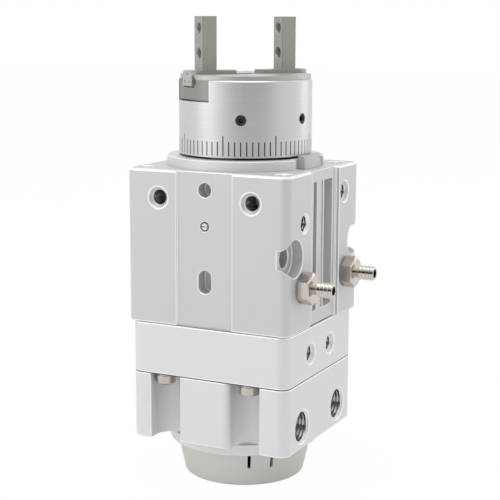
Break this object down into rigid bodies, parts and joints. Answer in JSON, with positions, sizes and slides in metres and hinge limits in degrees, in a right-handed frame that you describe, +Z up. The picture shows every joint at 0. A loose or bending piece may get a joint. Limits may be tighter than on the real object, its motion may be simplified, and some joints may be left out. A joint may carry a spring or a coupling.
{
  "type": "rotary gripper",
  "caption": "Pneumatic rotary gripper: square aluminium body, graduated rotating dial with a guide rail and parallel fingers, hose nipples, round cap below.",
  "frame": {"origin": "on the axis of rotation, at the top face of the upper block", "axes": "+Z up along the axis of rotation towards the fingers, -Y out of the front face, +X out of the port side"},
  "size_m": [0.0605, 0.0475, 0.1327],
  "materials": {
    "block_aluminium": "fine satin anodised",
    "dial_aluminium": "turned satin",
    "dark_coat": "matt",
    "rail_steel": "ground",
    "bright_steel": "polished",
    "nickel": "nickel plated",
    "black_steel": "blackened",
    "bronze": "plain",
    "seal_rubber": "matt",
    "magnet": "sintered",
    "cap_plastic": "fine matt",
    "board": "lacquered"
  },
  "bodies": {
    "housing": {"upper_block": "block_aluminium", "switch_rail": "block_aluminium", "slotted_plug": "nickel", "boss_ring": "block_aluminium", "scale_pointer": "dark_coat", "front_nipple": "nickel", "rear_nipple": "nickel", "nipple_gaskets": "seal_rubber", "middle_plate": "block_aluminium", "lower_block": "block_aluminium", "clamp_screws": "nickel", "clamp_washers": "nickel", "angle_adjusters": "black_steel", "bottom_ring": "block_aluminium", "ring_screws": "nickel", "cap": "cap_plastic", "cap_screws": "nickel", "stopper": "rail_steel", "switch_board": "board", "upper_shaft_bush": "bronze", "lower_shaft_bush": "bronze", "bearing_outer": "bright_steel", "lower_bush": "bronze"},
    "rotor": {"vane_shaft": "rail_steel", "vane": "rail_steel", "vane_seal": "seal_rubber", "stop_lever": "dial_aluminium", "magnet_arm": "dial_aluminium", "sensor_magnet": "magnet", "coupling": "dial_aluminium", "end_plug": "dial_aluminium", "rotor": "dial_aluminium", "rotor_seals": "seal_rubber", "bearing_inner": "bright_steel", "bearing_balls": "bright_steel", "dial": "dial_aluminium", "dial_screws": "black_steel", "guide_rail": "rail_steel", "rail_screws": "black_steel", "lever_pins": "bright_steel", "rod_bush": "bronze"},
    "piston": {"rod_joint": "rail_steel", "piston": "dial_aluminium", "piston_seal": "seal_rubber", "piston_magnet": "magnet", "piston_rod": "bright_steel"},
    "right_finger": {"right_finger": "rail_steel", "right_balls": "bright_steel"},
    "left_finger": {"left_finger": "rail_steel", "left_balls": "bright_steel"},
    "right_lever": {"right_lever": "rail_steel"},
    "left_lever": {"left_lever": "rail_steel"}
  },
  "joints": [
    {"name": "rotation", "type": "hinge", "parent": "housing", "child": "rotor", "pos_m": [0, 0, 0], "axis": [0, 0, 1], "range_deg": [-55, 125]},
    {"name": "piston_slide", "type": "slide", "parent": "rotor", "child": "piston", "axis": [0, 0, -1], "range_m": [0, 0.00222]},
    {"name": "right_finger_slide", "type": "slide", "parent": "rotor", "child": "right_finger", "axis": [-0.5736, -0.8192, 0], "range_m": [0, 0.003]},
    {"name": "left_finger_slide", "type": "slide", "parent": "rotor", "child": "left_finger", "axis": [0.5736, 0.8192, 0], "range_m": [0, 0.003]},
    {"name": "right_lever_pivot", "type": "hinge", "parent": "rotor", "child": "right_lever", "pos_m": [0.00516, 0.00737, 0.0149], "axis": [0.8192, -0.5736, 0], "range_deg": [0, 19.53]},
    {"name": "left_lever_pivot", "type": "hinge", "parent": "rotor", "child": "left_lever", "pos_m": [-0.00516, -0.00737, 0.0149], "axis": [-0.8192, 0.5736, 0], "range_deg": [0, 19.53]}
  ],
  "couplings": [
    {"joint": "right_finger_slide", "follows": "piston_slide", "ratio": 1.3538},
    {"joint": "left_finger_slide", "follows": "piston_slide", "ratio": 1.3538},
    {"joint": "right_lever_pivot", "follows": "piston_slide", "rad_per_m": 153.85},
    {"joint": "left_lever_pivot", "follows": "piston_slide", "rad_per_m": 153.85}
  ]
}
